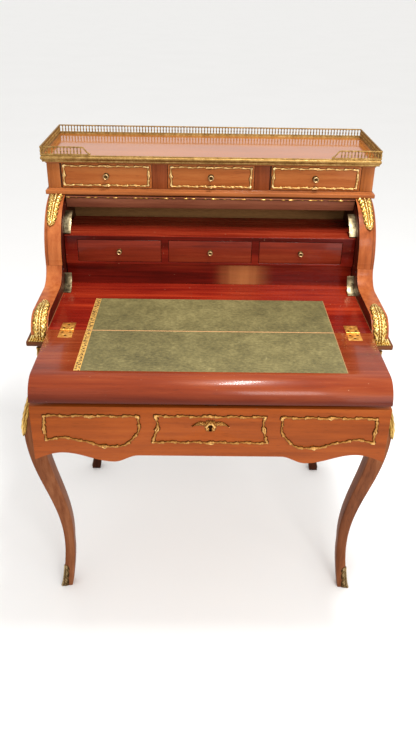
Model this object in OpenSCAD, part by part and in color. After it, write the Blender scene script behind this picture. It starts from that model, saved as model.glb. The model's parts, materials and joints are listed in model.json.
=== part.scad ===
// Cylinder-fall writing desk on cabriole legs, with a fold-over flap.
// Millimetres, +Z up, +X to the sitter's right, +Y towards the back.
// Lengths along Y are measured from the flap's hinge line; settle() moves the
// finished parts so that the origin is at the middle of the footprint.

/* [Overall] */
// Outer width over the two scrolled sides
case_w = 760; // [680:5:900]
// Depth from the flap's hinge line to the back of the case
case_d = 551; // [520:1:660]
// Height of the writing surface
surface_h = 766; // [700:1:820]
// Thickness of each scrolled side
side_t = 38; // [32:1:44]

/* [Writing bed and flap] */
// Thickness of the folding flap
flap_t = 25; // [20:0.5:30]
// Width of the flat lip between the nose and the cove behind it
lip_w = 19; // [14:0.5:24]
// Radius of the flap's rounded front nose
nose_r = 42; // [36:1:46]
// Radius of the cove under the nose, and at the foot of the fall
cove_r = 46; // [40:1:52]
// Gap left between the two leather faces when the flap is folded back
fold_gap = 0.4; // [0.3:0.1:1]
// Width of the leather panel
leather_w = 524; // [420:2:600]
// Depth of the leather behind the hinge line
leather_rear = 164; // [120:2:170]
// Depth of the leather in front of the hinge line
leather_front = 172; // [130:2:175]
// Thickness of the leather
leather_t = 0.7; // [0.5:0.1:1]

/* [Flap hinges] */
// Distance from the middle of the desk to the middle of a hinge
hinge_x = 302; // [290:1:306]
// Width of a hinge
hinge_w = 29; // [24:1:36]
// Length of one leaf
leaf_l = 35; // [28:1:45]
// Thickness of a leaf
leaf_t = 2; // [1.5:0.1:2.5]
// Radius of the hinge barrel
barrel_r = 2.2; // [1.8:0.1:2.6]
// Radius of the hinge pin
pin_r = 1; // [0.8:0.05:1.2]

/* [Cylinder fall] */
// Radius of the scrolled sides where they house the fall
roll_r = 123; // [115:1:130]
// Distance from the hinge line to the axis of the fall
roll_y = 330; // [315:1:345]
// Thickness of the curved shell
shell_t = 12; // [9:0.5:14]
// Angle that the whole fall spans
roll_span = 99; // [90:1:102]
// Radial depth of the rail along the fall's lower edge
rail_depth = 27; // [20:1:28]
// Depth of the grooves in the sides, in which the shell slides
groove_depth = 8.5; // [6:0.5:12]

/* [Upper case] */
// Height of the upper drawer openings
upper_open_h = 58; // [50:1:75]
// Thickness of the moulded floor
floor_t = 14; // [12:1:18]
// Thickness of the top board
top_t = 17; // [14:1:20]
// Distance from the hinge line to the front of the upper case
upper_y = 319; // [305:1:330]
// Width of each divider between the upper drawers
divider_w = 35; // [26:1:42]
// Width of the middle upper drawer's opening
middle_w = 204; // [180:2:230]
// Thickness of the upper case's sides
upper_side_t = 30; // [24:1:34]
// Height of the brass moulding round the top
moulding_h = 20; // [18:1:26]
// Height of the pierced gallery above the moulding
gallery_h = 19.5; // [15:0.5:26]
// Distance between two balusters of the gallery
baluster_pitch = 15.2; // [12:0.2:26]

/* [Interior drawers] */
// Height of the interior drawer case above the writing surface
inner_lift = 51; // [45:1:54]
// Height of the interior drawer case
inner_h = 70; // [60:1:72]
// Width of each divider in the interior case
inner_divider = 17; // [12:1:22]
// Width of the stile at each end of the interior case
inner_stile = 29; // [20:1:34]
// Gap between the corners of the interior case and the path of the fall's rail
inner_gap = 2.2; // [1.5:0.1:6]

/* [Legs and apron] */
// Thickness of the moulded ledge on top of the legs
ledge_t = 12; // [10:1:16]
// How far a knee swells out beyond the top of its leg
knee_out = 44; // [30:1:50]
// How far an ankle draws in behind the top of its leg
ankle_in = 9; // [5:0.5:14]
// Width of a leg just below its knee
leg_knee_w = 40; // [36:1:44]
// Width of a leg at the ankle
leg_ankle_w = 24.5; // [20:0.5:30]
// Height of the frieze drawer's front at its middle
frieze_h = 112; // [95:1:125]
// How far the frieze drawer is pulled out
drawer_out = 229; // [190:1:230]

/* [Hidden] */
$fn = 96;

// Clearances
slide_gap = 0.5;
turn_gap = 0.4;

// Widths
case_x = case_w / 2;
inside_x = case_x - side_t;
flap_x = inside_x - 1;

// Heights, from the floor up
ledge_top = surface_h - flap_t - 1;
ledge_z = ledge_top - ledge_t;
hinge_z = surface_h + fold_gap / 2;
flap_z = surface_h - flap_t;
nose_z = surface_h - nose_r;
scroll_flat = 2 * hinge_z - flap_z + 0.1;
roll_rise = 4.5;
cove_z = scroll_flat + cove_r;
roll_z = cove_z + roll_rise;
cornice_z = roll_z + roll_r;
upper_z = cornice_z + floor_t;
top_z = upper_z + upper_open_h;
joint_z = cove_z - 8.5;

// Scroll outline
scroll_nose_r = 44;
scroll_nose_y = scroll_nose_r + 2;
cove_y = roll_y - sqrt(pow(roll_r + cove_r, 2) - pow(roll_rise, 2));
nose_y = cove_y + lip_w;
flap_reach = nose_y + nose_r;
back_t = 8;
back_y = case_d - back_t;

// Brass tracks, and gilt leaves on the scrolls
track_w = 17;
track_t = 1.5;
flange_t = 1;
flange_h = 6;
track_from = 108;
track_to = 148;
nose_gap = 0.6;
leaf_proud = 6;
leaf_in = 3;
leaf_from = 101;
leaf_to = 142;
leaf_flat_end = 92;

// Leather, hinges and screws
inset = 0.1;
barrel_gap = 0.6;
pin_gap = 0.05;
knuckle_w = hinge_w / 3;
screw_r = 1.4;
screw_head_r = 2.8;
screw_l = 14;
screw_places = [[-8, 10], [8, 10], [0, 25]];

// Fall
shell_r = roll_r - 2;
shell_in = shell_r - shell_t;
rail_in = shell_r - rail_depth;
open_edge = 100;
shell_end = open_edge - roll_span;
rail_start = open_edge - 8;

// Ledge and edge moulding overhangs
ledge_side = 11;
ledge_front = 6;
edge_side = 11;
edge_front = 15;
edge_back = 8;
edge_x = case_x + edge_side;
edge_t = 9;
edge_step = 3;
edge_low = 4;

// Gallery: its rails stand just inside the moulding's faces
gallery_t = 3;
gallery_in = 2;
baluster_r = 1.2;
return_l = 93;
return_fall = 20;

// Legs: the places of the ankle, the knee and the plain top are shares of the height
leg_x = case_x - 7;
leg_front_y = 20;
leg_back_in = 10;
block_x = inside_x + 4;
block_y = 46;
ankle_t = 0.2;
knee_t = 0.715;
plain_t = 0.97;
foot_out = 6;
foot_w = 26.5;
front_sweep = 0.9;
back_sweep = 0.3;
leg_steps = 40;
leg_reach = 90;

// Brass sabots on the feet, and mounts on the knees, as shares of a leg's height
sabot_t = 0.1;
sabot_proud = 2.5;
mount_low = 0.7;
mount_high = 0.98;
mount_proud = 6;
mount_w = 16;

// Aprons and drawer guides
apron_t = 18;
apron_x = case_x - 8;
apron_drop = 112;
apron_rise = 16;
leg_back_y = case_d - 6;
rear_block_y = leg_back_y - 44;

// Frieze drawer
frieze_x = inside_x + 1.5;
frieze_t = 20;
frieze_top = ledge_z - 16;
frieze_low = frieze_top - frieze_h;
closed_y = 14;
frieze_y = closed_y - drawer_out;
box_depth = 395;
box_side = 10;
box_x = frieze_x - 4;
box_low = frieze_low + 14;
box_top = frieze_top - 8;
box_floor_t = 6;
guide_w = 21;
frame_t = 3;
frame_w = 6;
lock_x = 32;
lock_y = frieze_y + frieze_t;
bolt_travel = 7;
bolt_y = frieze_y + 13;
bolt_x = 11;
bolt_half = 2;
keyhole_z = frieze_low + 70;

// Serpentine lower edge of the frieze drawer
lobe_start = 140;
lobe_low = 188;
lobe_high = 287;
lobe_drop = 15.5;
lobe_rise = 21;

// Upper drawers
upper_in = case_x + 1 - upper_side_t;
middle_x = middle_w / 2;
outer_in = middle_x + divider_w;
outer_w = upper_in - outer_in;
outer_x = (upper_in + outer_in) / 2;
upper_drawer_d = back_y - upper_y - 14;
upper_knob_z = upper_z + upper_open_h / 2;
upper_knob_r = 6;
upper_knob_l = 14;

// Interior drawers
inner_x = inside_x - 1.5;
inner_z = surface_h + inner_lift;
inner_corner = inner_z + inner_h - roll_z;
inner_half = sqrt(pow(rail_in - inner_gap, 2) - pow(inner_corner, 2));
inner_y = roll_y - inner_half;
inner_d = 2 * inner_half;
inner_floor = 6;
inner_top = 10;
inner_open_x = inner_x - inner_stile;
inner_w = (2 * inner_open_x - 2 * inner_divider) / 3;
inner_pitch = inner_w + inner_divider;
inner_drawer_h = inner_h - inner_floor - inner_top - 2 * slide_gap;
inner_knob_z = inner_z + inner_floor + inner_drawer_h / 2;
inner_knob_r = 5;
inner_knob_l = 12;
recess_y = inner_y + 6;
recess_t = 12;

// Middle of the footprint
mid_y = (frieze_front_y() + top_back_y()) / 2;
function frieze_front_y() = min(-flap_reach, frieze_y - frame_t - 4);
function top_back_y() = max(case_d + edge_back, leg_back_y + back_sweep * knee_out);

module settle() {
    translate([0, -mid_y, 0]) children();
}

// A profile drawn with Y to the right and Z up, from one X to another
module across(x0, x1) {
    translate([x0, 0, 0]) rotate([90, 0, 90]) linear_extrude(x1 - x0) children();
}

// A profile drawn with X to the right and Z up, from one Y to another
module through(y0, y1) {
    translate([0, y1, 0]) rotate([90, 0, 0]) linear_extrude(y1 - y0) children();
}

module block(lo, hi) {
    translate(lo) cube(hi - lo);
}

module both_sides() {
    children();
    mirror([1, 0, 0]) children();
}

// A ring cut to the angles a0 to a1, which span less than half a turn
module ring_part(r0, r1, a0, a1) {
    reach = 2 * r1;
    mid = (a0 + a1) / 2;
    intersection() {
        difference() {
            circle(r1);
            circle(r0);
        }
        polygon([[0, 0], reach * [cos(a0), sin(a0)], reach * [cos(mid), sin(mid)],
            reach * [cos(a1), sin(a1)]]);
    }
}

module at_roll() {
    translate([roll_y, roll_z]) children();
}

// ---- Legs ----

// How far a leg's outer edge stands out, at a share t of its height
function sweep(t) =
    t < ankle_t ? -ankle_in + (ankle_in + foot_out) * (1 - sin(90 * t / ankle_t))
    : t < knee_t ? (ankle_in + knee_out) * (1 - cos(180 * (t - ankle_t) / (knee_t - ankle_t))) / 2 - ankle_in
    : t < plain_t ? knee_out * (1 + cos(180 * (t - knee_t) / (plain_t - knee_t))) / 2
    : 0;
function leg_w(t) =
    t < ankle_t ? foot_w + (leg_ankle_w - foot_w) * t / ankle_t
    : leg_ankle_w + (leg_knee_w - leg_ankle_w) * sin(90 * min(1, (t - ankle_t) / (knee_t - ankle_t)));
function ease(t, a, b) =
    let (s = min(1, max(0, (t - a) / (b - a)))) s * s * (3 - 2 * s);

// Outline of one face of a leg: its outer edge starts from c and sweeps by k,
// its inner edge runs into the flat of the top block, and grow widens both
module leg_face(c, k, flat, grow = 0, t0 = 0, t1 = 1) {
    steps = [for (i = [0 : leg_steps]) t0 + (t1 - t0) * i / leg_steps];
    outer = [for (t = steps) [c + k * sweep(t) + grow, ledge_z * t]];
    inner = [for (i = [leg_steps : -1 : 0])
        let (t = steps[i], s = ease(t, 0.6, 0.79))
        [(1 - s) * (c + k * sweep(t) - leg_w(t) - grow) + s * flat, ledge_z * t]];
    polygon(concat(outer, inner));
}

module front_leg_solid(grow = 0, t0 = 0, t1 = 1) {
    intersection() {
        through(-leg_reach, leg_reach) leg_face(leg_x, 1, block_x, grow, t0, t1);
        mirror([0, 1, 0]) across(leg_x - leg_reach, leg_x + leg_reach)
            leg_face(-leg_front_y, front_sweep, -block_y, grow, t0, t1);
    }
}

module back_leg_solid(grow = 0, t0 = 0, t1 = 1) {
    intersection() {
        through(case_d - leg_reach, case_d + leg_reach)
            leg_face(leg_x - leg_back_in, 1, block_x, grow, t0, t1);
        across(leg_x - leg_reach, leg_x + leg_reach)
            leg_face(leg_back_y, back_sweep, rear_block_y, grow, t0, t1);
    }
}

module front_right_leg() { color("sienna") settle() front_leg_solid(); }
module front_left_leg() { color("sienna") settle() mirror([1, 0, 0]) front_leg_solid(); }
module back_right_leg() { color("sienna") settle() back_leg_solid(); }
module back_left_leg() { color("sienna") settle() mirror([1, 0, 0]) back_leg_solid(); }

module sabots() {
    color("goldenrod") settle() both_sides() {
        difference() {
            front_leg_solid(sabot_proud, 0, sabot_t);
            front_leg_solid();
        }
        difference() {
            back_leg_solid(sabot_proud, 0, sabot_t);
            back_leg_solid();
        }
    }
}

// Gilt casting down the outer front corner of each front knee
module knee_mounts() {
    steps = [for (i = [0 : leg_steps]) mount_low + (mount_high - mount_low) * i / leg_steps];
    corner_x = concat([for (t = steps) [leg_x + sweep(t) + mount_proud + 1, ledge_z * t]],
        [for (i = [leg_steps : -1 : 0]) [leg_x + sweep(steps[i]) - mount_w, ledge_z * steps[i]]]);
    color("goldenrod") settle() both_sides() intersection() {
        difference() {
            front_leg_solid(mount_proud, mount_low, mount_high);
            front_leg_solid();
        }
        through(-leg_reach, leg_reach) polygon(corner_x);
        mirror([0, 1, 0]) across(0, leg_x + leg_reach) polygon([for (p = corner_x)
            let (t = p[1] / ledge_z, off = p[0] - leg_x - sweep(t))
                [front_sweep * sweep(t) + off - leg_front_y, p[1]]]);
    }
}

// ---- Ledge, aprons and drawer guides ----

module ledge_board() {
    x = case_x + ledge_side;
    color("peru") settle() block([-x, -ledge_front, ledge_z], [x, back_y, ledge_top]);
}

module front_rail() {
    color("peru") settle() difference() {
        block([-block_x, closed_y + 2, frieze_top + 2], [block_x, closed_y + 22, ledge_z]);
        block([-bolt_x - 3, bolt_y + drawer_out - bolt_half - 1.5, frieze_top],
            [bolt_x + 3, bolt_y + drawer_out + bolt_half + 1.5, frieze_top + bolt_travel + 3]);
    }
}

function apron_edge(t) = ledge_z - apron_drop - apron_rise * cos(360 * t);

module apron_face(length, steps = 24) {
    low = [for (i = [0 : steps]) [length * i / steps, apron_edge(i / steps)]];
    polygon(concat([[0, ledge_z]], low, [[length, ledge_z]]));
}

module side_aprons() {
    length = rear_block_y - block_y;
    color("peru") settle() both_sides() across(apron_x - apron_t, apron_x)
        translate([block_y, 0]) apron_face(length);
}

module back_apron() {
    length = 2 * block_x;
    color("peru") settle() through(case_d - 6 - apron_t, case_d - 6)
        translate([-block_x, 0]) apron_face(length);
}

module drawer_guides() {
    x = apron_x - apron_t;
    color("burlywood") settle() both_sides() {
        block([x - guide_w, block_y, box_low - slide_gap - 12], [x, rear_block_y, box_low - slide_gap]);
        block([x - guide_w, block_y, box_top + slide_gap], [x, rear_block_y, ledge_z]);
    }
}

// ---- Scrolled sides ----

// Whole outline of a side, from the ledge to the upper case
module side_outline() {
    union() {
        at_roll() circle(roll_r);
        translate([roll_y, ledge_top]) square([back_y - roll_y, cornice_z - ledge_top]);
        translate([scroll_nose_y, ledge_top]) square([roll_y - scroll_nose_y, scroll_flat - ledge_top]);
        translate([scroll_nose_y, scroll_flat - scroll_nose_r]) circle(scroll_nose_r);
        difference() {
            translate([cove_y, scroll_flat - 1]) square([roll_y - cove_y, roll_z - scroll_flat + 1]);
            translate([cove_y, cove_z]) circle(cove_r);
            translate([cove_y - 1, cove_z]) square([cove_r / 2, cove_r]);
        }
    }
}

// Groove in which the end of the shell slides
module roll_groove() {
    at_roll() {
        ring_part(shell_in - slide_gap, shell_r + slide_gap, -2, 100);
        ring_part(shell_in - slide_gap, shell_r + slide_gap, 99, 195.6);
    }
}

module side_band(z0, z1) {
    difference() {
        across(inside_x, case_x) intersection() {
            side_outline();
            translate([-10, z0]) square([case_d + 20, z1 - z0]);
        }
        across(inside_x - 1, inside_x + groove_depth) roll_groove();
    }
}

module right_scroll() { color("chocolate") settle() side_band(ledge_top, joint_z); }
module left_scroll() { color("chocolate") settle() mirror([1, 0, 0]) side_band(ledge_top, joint_z); }
module right_cheek() { color("chocolate") settle() side_band(joint_z, cornice_z); }
module left_cheek() { color("chocolate") settle() mirror([1, 0, 0]) side_band(joint_z, cornice_z); }

// Brass strips: one behind the fall's rail, one that receives the folded nose
module brass_tracks() {
    track_r = rail_in - 1;
    rest_r = nose_r + nose_gap;
    folded_nose_z = 2 * hinge_z - nose_z;
    rest_foot = -asin((folded_nose_z - surface_h - 0.3) / (rest_r + track_t));
    color("darkgoldenrod") settle() both_sides() {
        across(inside_x - track_w, inside_x) at_roll()
            ring_part(track_r - track_t, track_r, track_from, track_to);
        across(inside_x - flange_t, inside_x) at_roll()
            ring_part(track_r - flange_h, track_r, track_from, track_to);
        across(inside_x - track_w, inside_x) translate([nose_y, folded_nose_z])
            ring_part(rest_r, rest_r + track_t, rest_foot, -5);
    }
}

// Gilt leaves on the front of the scrolls
module upper_acanthus() {
    color("gold") settle() both_sides() across(inside_x + leaf_in, case_x - leaf_in)
        at_roll() ring_part(roll_r, roll_r + leaf_proud, leaf_from, leaf_to);
}

module lower_acanthus() {
    color("gold") settle() both_sides() {
        across(inside_x + leaf_in, case_x - leaf_in) {
            translate([scroll_nose_y, scroll_flat - scroll_nose_r])
                ring_part(scroll_nose_r, scroll_nose_r + leaf_proud, 90, 180);
            translate([scroll_nose_y, scroll_flat]) square([leaf_flat_end - scroll_nose_y, leaf_proud]);
        }
        block([inside_x + 2, -4, ledge_top], [case_x + 1, 2, ledge_top + 4]);
    }
}

module case_back() {
    x = case_x - 1;
    color("saddlebrown") settle() block([-x, back_y, ledge_z], [x, case_d, top_z]);
}

// ---- Writing bed, leather and hinges ----

module leather_pocket(y0, y1) {
    block([-leather_w / 2, y0, surface_h - leather_t - inset], [leather_w / 2, y1, surface_h + 1]);
}

module leather_panel(y0, y1) {
    block([-leather_w / 2, y0, surface_h - leather_t - inset], [leather_w / 2, y1, surface_h - inset]);
}

// Space that the hinges need in the bed (side = 1) or in the flap (side = -1)
module hinge_pockets(side) {
    both_sides() {
        translate([hinge_x - hinge_w / 2 - turn_gap, 0, hinge_z]) rotate([0, 90, 0])
            cylinder(r = barrel_r + barrel_gap, h = hinge_w + 2 * turn_gap);
        y = side * leaf_l;
        block([hinge_x - hinge_w / 2, min(0, y), surface_h - leaf_t - inset],
            [hinge_x + hinge_w / 2, max(0, y), surface_h + 1]);
    }
}

module at_screws(side) {
    both_sides() for (p = screw_places)
        translate([hinge_x + p[0], side * p[1], surface_h - 0.3]) children();
}

module screw_shape() {
    translate([0, 0, -screw_l]) cylinder(r = screw_r, h = screw_l);
    translate([0, 0, 0.2 - leaf_t]) cylinder(r = screw_head_r, h = leaf_t - 0.2);
}

module writing_bed() {
    color("firebrick") settle() difference() {
        block([-inside_x, turn_gap / 2, ledge_top], [inside_x, back_y, surface_h]);
        leather_pocket(0, leather_rear);
        hinge_pockets(1);
        at_screws(1) screw_shape();
    }
}

module rear_leather() {
    color("darkolivegreen") settle() leather_panel(turn_gap / 2, leather_rear);
}

// One knuckle of the barrel, between two places along the hinge
module knuckle(x0, x1) {
    translate([hinge_x + x0, 0, hinge_z]) rotate([0, 90, 0]) cylinder(r = barrel_r, h = x1 - x0);
}

module pin_bore(r) {
    translate([hinge_x - hinge_w, 0, hinge_z]) rotate([0, 90, 0]) cylinder(r = r, h = 2 * hinge_w);
}

module bed_hinge_leaves() {
    half = hinge_w / 2;
    split = knuckle_w / 2;
    top = surface_h - inset;
    color("goldenrod") settle() both_sides() difference() {
        union() {
            block([hinge_x - half, barrel_r + turn_gap, top - leaf_t], [hinge_x + half, leaf_l, top]);
            for (s = [-1, 1]) {
                x0 = min(s * half, s * (split + turn_gap / 2));
                x1 = max(s * half, s * (split + turn_gap / 2));
                knuckle(x0, x1);
                block([hinge_x + x0, 0, top - leaf_t], [hinge_x + x1, leaf_l, top]);
            }
        }
        pin_bore(pin_r);
        at_screw_holes(1);
    }
}

module flap_hinge_leaves() {
    half = hinge_w / 2;
    split = knuckle_w / 2 - turn_gap / 2;
    top = surface_h - inset;
    color("goldenrod") settle() both_sides() difference() {
        union() {
            block([hinge_x - half, -leaf_l, top - leaf_t],
                [hinge_x + half, -barrel_r - turn_gap, top]);
            knuckle(-split, split);
            block([hinge_x - split, -leaf_l, top - leaf_t], [hinge_x + split, 0, top]);
        }
        pin_bore(pin_r + pin_gap);
        at_screw_holes(-1);
    }
}

module at_screw_holes(side) {
    for (p = screw_places)
        translate([hinge_x + p[0], side * p[1], surface_h - 5]) cylinder(r = screw_head_r, h = 10);
}

module hinge_pins() {
    color("goldenrod") settle() both_sides()
        translate([hinge_x - hinge_w / 2, 0, hinge_z]) rotate([0, 90, 0])
            cylinder(r = pin_r, h = hinge_w);
}

module bed_hinge_screws() { color("darkgoldenrod") settle() at_screws(1) screw_shape(); }
module flap_hinge_screws() { color("darkgoldenrod") settle() at_screws(-1) screw_shape(); }

// Section of the flap: flat board, rounded nose and coved lip
module flap_section() {
    difference() {
        union() {
            translate([-nose_y, flap_z]) square([nose_y - turn_gap / 2, flap_t]);
            intersection() {
                translate([-nose_y, nose_z]) circle(nose_r);
                translate([-flap_reach - 1, nose_z]) square([nose_r + 1, nose_r + 1]);
            }
            translate([-nose_y, nose_z]) square([lip_w, surface_h - nose_z]);
        }
        translate([-cove_y, 2 * hinge_z - cove_z]) circle(cove_r + inset);
    }
}

module flap_board() {
    color("firebrick") settle() difference() {
        across(-flap_x, flap_x) flap_section();
        leather_pocket(-leather_front, 0);
        hinge_pockets(-1);
        at_screws(-1) screw_shape();
    }
}

module flap_leather() {
    color("darkolivegreen") settle() leather_panel(-leather_front, -turn_gap / 2);
}

// ---- Cylinder fall ----

module cylinder_shell() {
    x = inside_x + groove_depth - slide_gap;
    color("sienna") settle() across(-x, x) at_roll() ring_part(shell_in, shell_r, shell_end, rail_start);
}

module cylinder_rail() {
    x = inside_x - 1;
    color("sienna") settle() across(-x, x) at_roll() ring_part(rail_in, shell_r, rail_start, open_edge);
}

module cylinder_trim() {
    x = inside_x - 2;
    trim_a = 0.8;
    trim_h = 4;
    color("gold") settle() across(-x, x) at_roll()
        ring_part(shell_r - trim_h, shell_r, open_edge, open_edge + trim_a);
}

// ---- Upper case ----

module upper_floor() {
    x = case_x + 7;
    color("peru") settle() difference() {
        block([-x, upper_y - 9, cornice_z], [x, back_y, upper_z]);
        both_sides()
            block([case_x + 1, upper_y - 20, upper_z - 4], [x + 1, back_y + 1, upper_z + 1]);
        block([-x - 1, upper_y - 20, upper_z - 4], [x + 1, upper_y, upper_z + 1]);
    }
}

module upper_sides() {
    color("peru") settle() both_sides()
        block([upper_in, upper_y, upper_z], [case_x + 1, back_y, top_z]);
}

module upper_dividers() {
    color("peru") settle() both_sides()
        block([middle_x, upper_y, upper_z], [outer_in, back_y, top_z]);
}

module upper_top() {
    x = edge_x - edge_t;
    color("burlywood") settle()
        block([-x, upper_y - edge_front + edge_t, top_z], [x, case_d + edge_back - edge_t, top_z + top_t]);
}

// Brass band wrapped round the four edges of the top board
module edge_moulding() {
    step = edge_step;
    color("goldenrod") settle() difference() {
        union() {
            block([-edge_x + step, upper_y - edge_front + step, top_z + edge_low],
                [edge_x - step, case_d + edge_back - step, top_z + moulding_h]);
            block([-edge_x, upper_y - edge_front, top_z + edge_low + step],
                [edge_x, case_d + edge_back, top_z + moulding_h]);
        }
        x = edge_x - edge_t;
        block([-x, upper_y - edge_front + edge_t, top_z - 1],
            [x, case_d + edge_back - edge_t, top_z + moulding_h + 1]);
    }
}

// Rails, balusters, and two front returns that slope down
module gallery() {
    foot_z = top_z + moulding_h;
    rail_z = foot_z + gallery_h - gallery_t;
    post_h = rail_z - foot_z + 1;
    x = edge_x - gallery_in;
    y0 = upper_y - edge_front + gallery_in;
    y1 = case_d + edge_back - gallery_in;
    t = gallery_t / 2;
    side_n = floor((y1 - y0) / baluster_pitch);
    back_n = floor(2 * x / baluster_pitch);
    front_n = floor(return_l / baluster_pitch);
    color("darkgoldenrod") settle() union() {
        for (z = [foot_z, rail_z]) {
            for (s = [-1, 1]) block([s * x - t, y0 - t, z], [s * x + t, y1 + t, z + gallery_t]);
            block([-x - t, y1 - t, z], [x + t, y1 + t, z + gallery_t]);
            both_sides() block([x - return_l, y0 - t, z], [x + t, y0 + t, z + gallery_t]);
        }
        both_sides() through(y0 - t, y0 + t)
            polygon([[x - return_l, foot_z], [x - return_l, rail_z + gallery_t],
                [x - return_l - return_fall, foot_z + gallery_t],
                [x - return_l - return_fall, foot_z]]);
        for (s = [-1, 1], i = [0 : side_n])
            translate([s * x, y0 + (y1 - y0) * i / side_n, foot_z]) cylinder(r = baluster_r, h = post_h);
        for (i = [1 : back_n - 1])
            translate([-x + 2 * x * i / back_n, y1, foot_z]) cylinder(r = baluster_r, h = post_h);
        both_sides() for (i = [1 : front_n])
            translate([x - return_l * i / front_n, y0, foot_z]) cylinder(r = baluster_r, h = post_h);
    }
}

// An open drawer box with its front, between two places along X
module drawer_box(x0, x1, y, z, depth, height, front_t, wall) {
    difference() {
        block([x0, y, z], [x1, y + depth, z + height]);
        block([x0 + wall, y + front_t, z + wall], [x1 - wall, y + depth - wall, z + height + 1]);
        block([x0 - 1, y + front_t, z + height - 8], [x1 + 1, y + depth + 1, z + height + 1]);
    }
}

module upper_drawer(x, w) {
    color("chocolate") settle() drawer_box(x - w / 2 + slide_gap, x + w / 2 - slide_gap, upper_y,
        upper_z + slide_gap, upper_drawer_d, upper_open_h - 2 * slide_gap, 15, 7);
}

// Gilt frame on the face of an upper drawer
module upper_frame(x, w) {
    rim = 5.5;
    h = upper_open_h - 8;
    color("gold") settle() through(upper_y - frame_t, upper_y) translate([x, upper_z + upper_open_h / 2])
        difference() {
            square([w - 12, h], center = true);
            square([w - 12 - 2 * rim, h - 2 * rim], center = true);
        }
}

// Turned knob that stands on a face at Y
module turned_knob(x, y, z, r, length) {
    color("goldenrod") settle() translate([x, y, z]) rotate([90, 0, 0]) union() {
        cylinder(r = r * 1.2, h = 1.5);
        cylinder(r = r * 0.45, h = length - r * 0.6);
        translate([0, 0, length - r]) cylinder(r = r, h = r);
    }
}

module upper_left_drawer() { upper_drawer(-outer_x, outer_w); }
module upper_middle_drawer() { upper_drawer(0, middle_w); }
module upper_right_drawer() { upper_drawer(outer_x, outer_w); }
module upper_left_frame() { upper_frame(-outer_x, outer_w); }
module upper_middle_frame() { upper_frame(0, middle_w); }
module upper_right_frame() { upper_frame(outer_x, outer_w); }
module upper_left_knob() { turned_knob(-outer_x, upper_y, upper_knob_z, upper_knob_r, upper_knob_l); }
module upper_middle_knob() { turned_knob(0, upper_y, upper_knob_z, upper_knob_r, upper_knob_l); }
module upper_right_knob() { turned_knob(outer_x, upper_y, upper_knob_z, upper_knob_r, upper_knob_l); }

// ---- Interior drawers ----

module inner_case() {
    y1 = inner_y + inner_d;
    step_y = inner_y + 50;
    color("maroon") settle() difference() {
        block([-inner_x, inner_y, inner_z], [inner_x, y1, inner_z + inner_h]);
        for (i = [-1 : 1]) {
            x = i * inner_pitch;
            block([x - inner_w / 2, inner_y - 1, inner_z + inner_floor],
                [x + inner_w / 2, y1 - 6, inner_z + inner_h - inner_top]);
        }
        block([-inner_x - 1, step_y, inner_z + inner_h - 4], [inner_x + 1, y1 + 1, inner_z + inner_h + 1]);
    }
}

module recess_panel() {
    color("maroon") settle()
        block([-inner_x, recess_y, surface_h], [inner_x, recess_y + recess_t, inner_z]);
}

module inner_drawer(i) {
    x = i * inner_pitch;
    color("firebrick") settle() drawer_box(x - inner_w / 2 + slide_gap, x + inner_w / 2 - slide_gap,
        inner_y, inner_z + inner_floor + slide_gap, inner_d - 12, inner_drawer_h, 12, 5);
}

module inner_left_drawer() { inner_drawer(-1); }
module inner_middle_drawer() { inner_drawer(0); }
module inner_right_drawer() { inner_drawer(1); }
module inner_left_knob() { turned_knob(-inner_pitch, inner_y, inner_knob_z, inner_knob_r, inner_knob_l); }
module inner_middle_knob() { turned_knob(0, inner_y, inner_knob_z, inner_knob_r, inner_knob_l); }
module inner_right_knob() { turned_knob(inner_pitch, inner_y, inner_knob_z, inner_knob_r, inner_knob_l); }

// ---- Frieze drawer ----

// Height of the serpentine lower edge, above the middle's straight stretch
function serpentine(x) =
    x < lobe_start ? 0
    : x < lobe_low ? -lobe_drop * (1 - cos(180 * (x - lobe_start) / (lobe_low - lobe_start))) / 2
    : x < lobe_high ? lobe_rise * (1 - cos(180 * (x - lobe_low) / (lobe_high - lobe_low))) / 2 - lobe_drop
    : 17.5 * cos(90 * min(1, (x - lobe_high) / (frieze_x - lobe_high))) - 12;

module frieze_face() {
    steps = [for (x = [lobe_start : 5 : frieze_x - 2]) x];
    right = concat([for (x = steps) [x, frieze_low + serpentine(x)]],
        [[frieze_x, frieze_low + serpentine(frieze_x)]]);
    n = len(right);
    left = [for (i = [n - 1 : -1 : 0]) [-right[i][0], right[i][1]]];
    polygon(concat(left, right, [[frieze_x, frieze_top], [-frieze_x, frieze_top]]));
}

module keyhole() {
    translate([0, keyhole_z]) circle(r = 2.4);
    translate([-1.2, keyhole_z - 8]) square([2.4, 8]);
}

module frieze_front() {
    color("chocolate") settle() difference() {
        through(frieze_y, frieze_y + frieze_t) difference() {
            frieze_face();
            keyhole();
        }
        block([-lock_x, frieze_y + 8, keyhole_z - 25], [lock_x, frieze_y + frieze_t + 1, frieze_top - 4]);
        block([-bolt_x - 1, bolt_y - bolt_half - 1, keyhole_z],
            [bolt_x + 1, bolt_y + bolt_half + 1, frieze_top + 1]);
    }
}

module frieze_box() {
    y0 = frieze_y + frieze_t;
    y1 = frieze_y + box_depth;
    color("burlywood") settle() difference() {
        block([-box_x, y0, box_low], [box_x, y1, box_top]);
        block([-box_x + box_side, y0 - 1, box_low + 4 + box_floor_t],
            [box_x - box_side, y1 - box_side, box_top + 1]);
        block([-box_x + box_side, y0 - 1, box_low - 1], [box_x - box_side, y1 - box_side, box_low + 4]);
    }
}

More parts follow.
